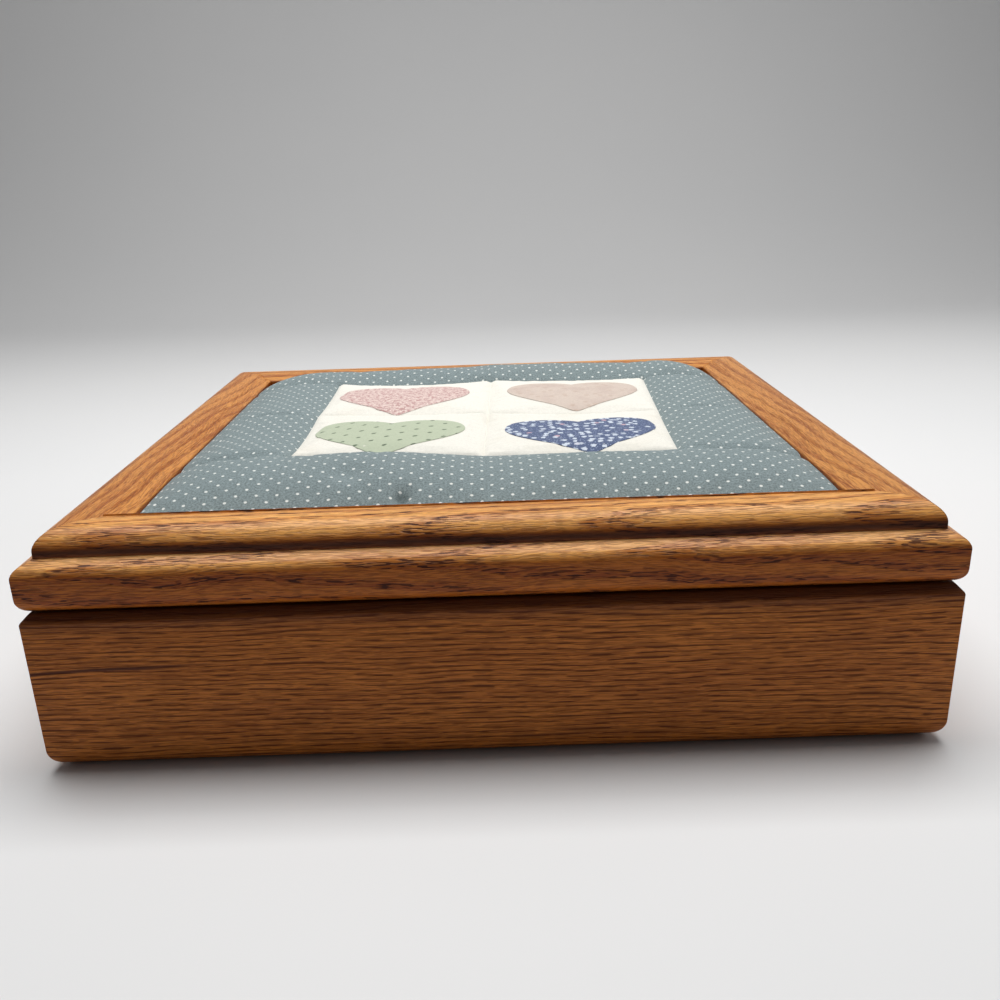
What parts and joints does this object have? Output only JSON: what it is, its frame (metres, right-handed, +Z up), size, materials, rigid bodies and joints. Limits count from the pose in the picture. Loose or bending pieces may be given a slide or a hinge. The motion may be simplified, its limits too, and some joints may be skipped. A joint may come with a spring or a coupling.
{
  "type": "trinket box",
  "caption": "Square mitred oak box with a moulded lift-off lid framing a padded patchwork top of appliqued hearts; hollow and empty inside.",
  "frame": {"origin": "middle of the underside, on the surface that the box stands on", "axes": "+Z up out of the lid; -Y towards the front, the side nearest the viewer in the picture; +X to the right seen from the front"},
  "size_m": [0.254, 0.254, 0.0729],
  "materials": {
    "box_oak": "satin varnish",
    "lid_oak": "satin varnish",
    "panel_wood": "bare plywood",
    "mounting_board": "matt card",
    "wadding": "matt polyester wadding",
    "border_cloth": "plain-weave cotton with pin dots",
    "cream_cloth": "plain-weave cotton",
    "pink_cloth": "printed cotton",
    "beige_cloth": "printed cotton",
    "green_cloth": "printed cotton",
    "navy_cloth": "printed cotton"
  },
  "bodies": {
    "root": {"box_front": "box_oak", "box_right": "box_oak", "box_back": "box_oak", "box_left": "box_oak", "box_bottom": "panel_wood", "lid_rail_front": "lid_oak", "lid_rail_right": "lid_oak", "lid_rail_back": "lid_oak", "lid_rail_left": "lid_oak", "lid_mounting_board": "mounting_board", "lid_backing_panel": "panel_wood", "lid_pad": "wadding", "border_front": "border_cloth", "border_back": "border_cloth", "border_left": "border_cloth", "border_right": "border_cloth", "square_front_left": "cream_cloth", "square_front_right": "cream_cloth", "square_back_left": "cream_cloth", "square_back_right": "cream_cloth", "heart_green": "green_cloth", "heart_navy": "navy_cloth", "heart_pink": "pink_cloth", "heart_beige": "beige_cloth"}
  },
  "joints": []
}
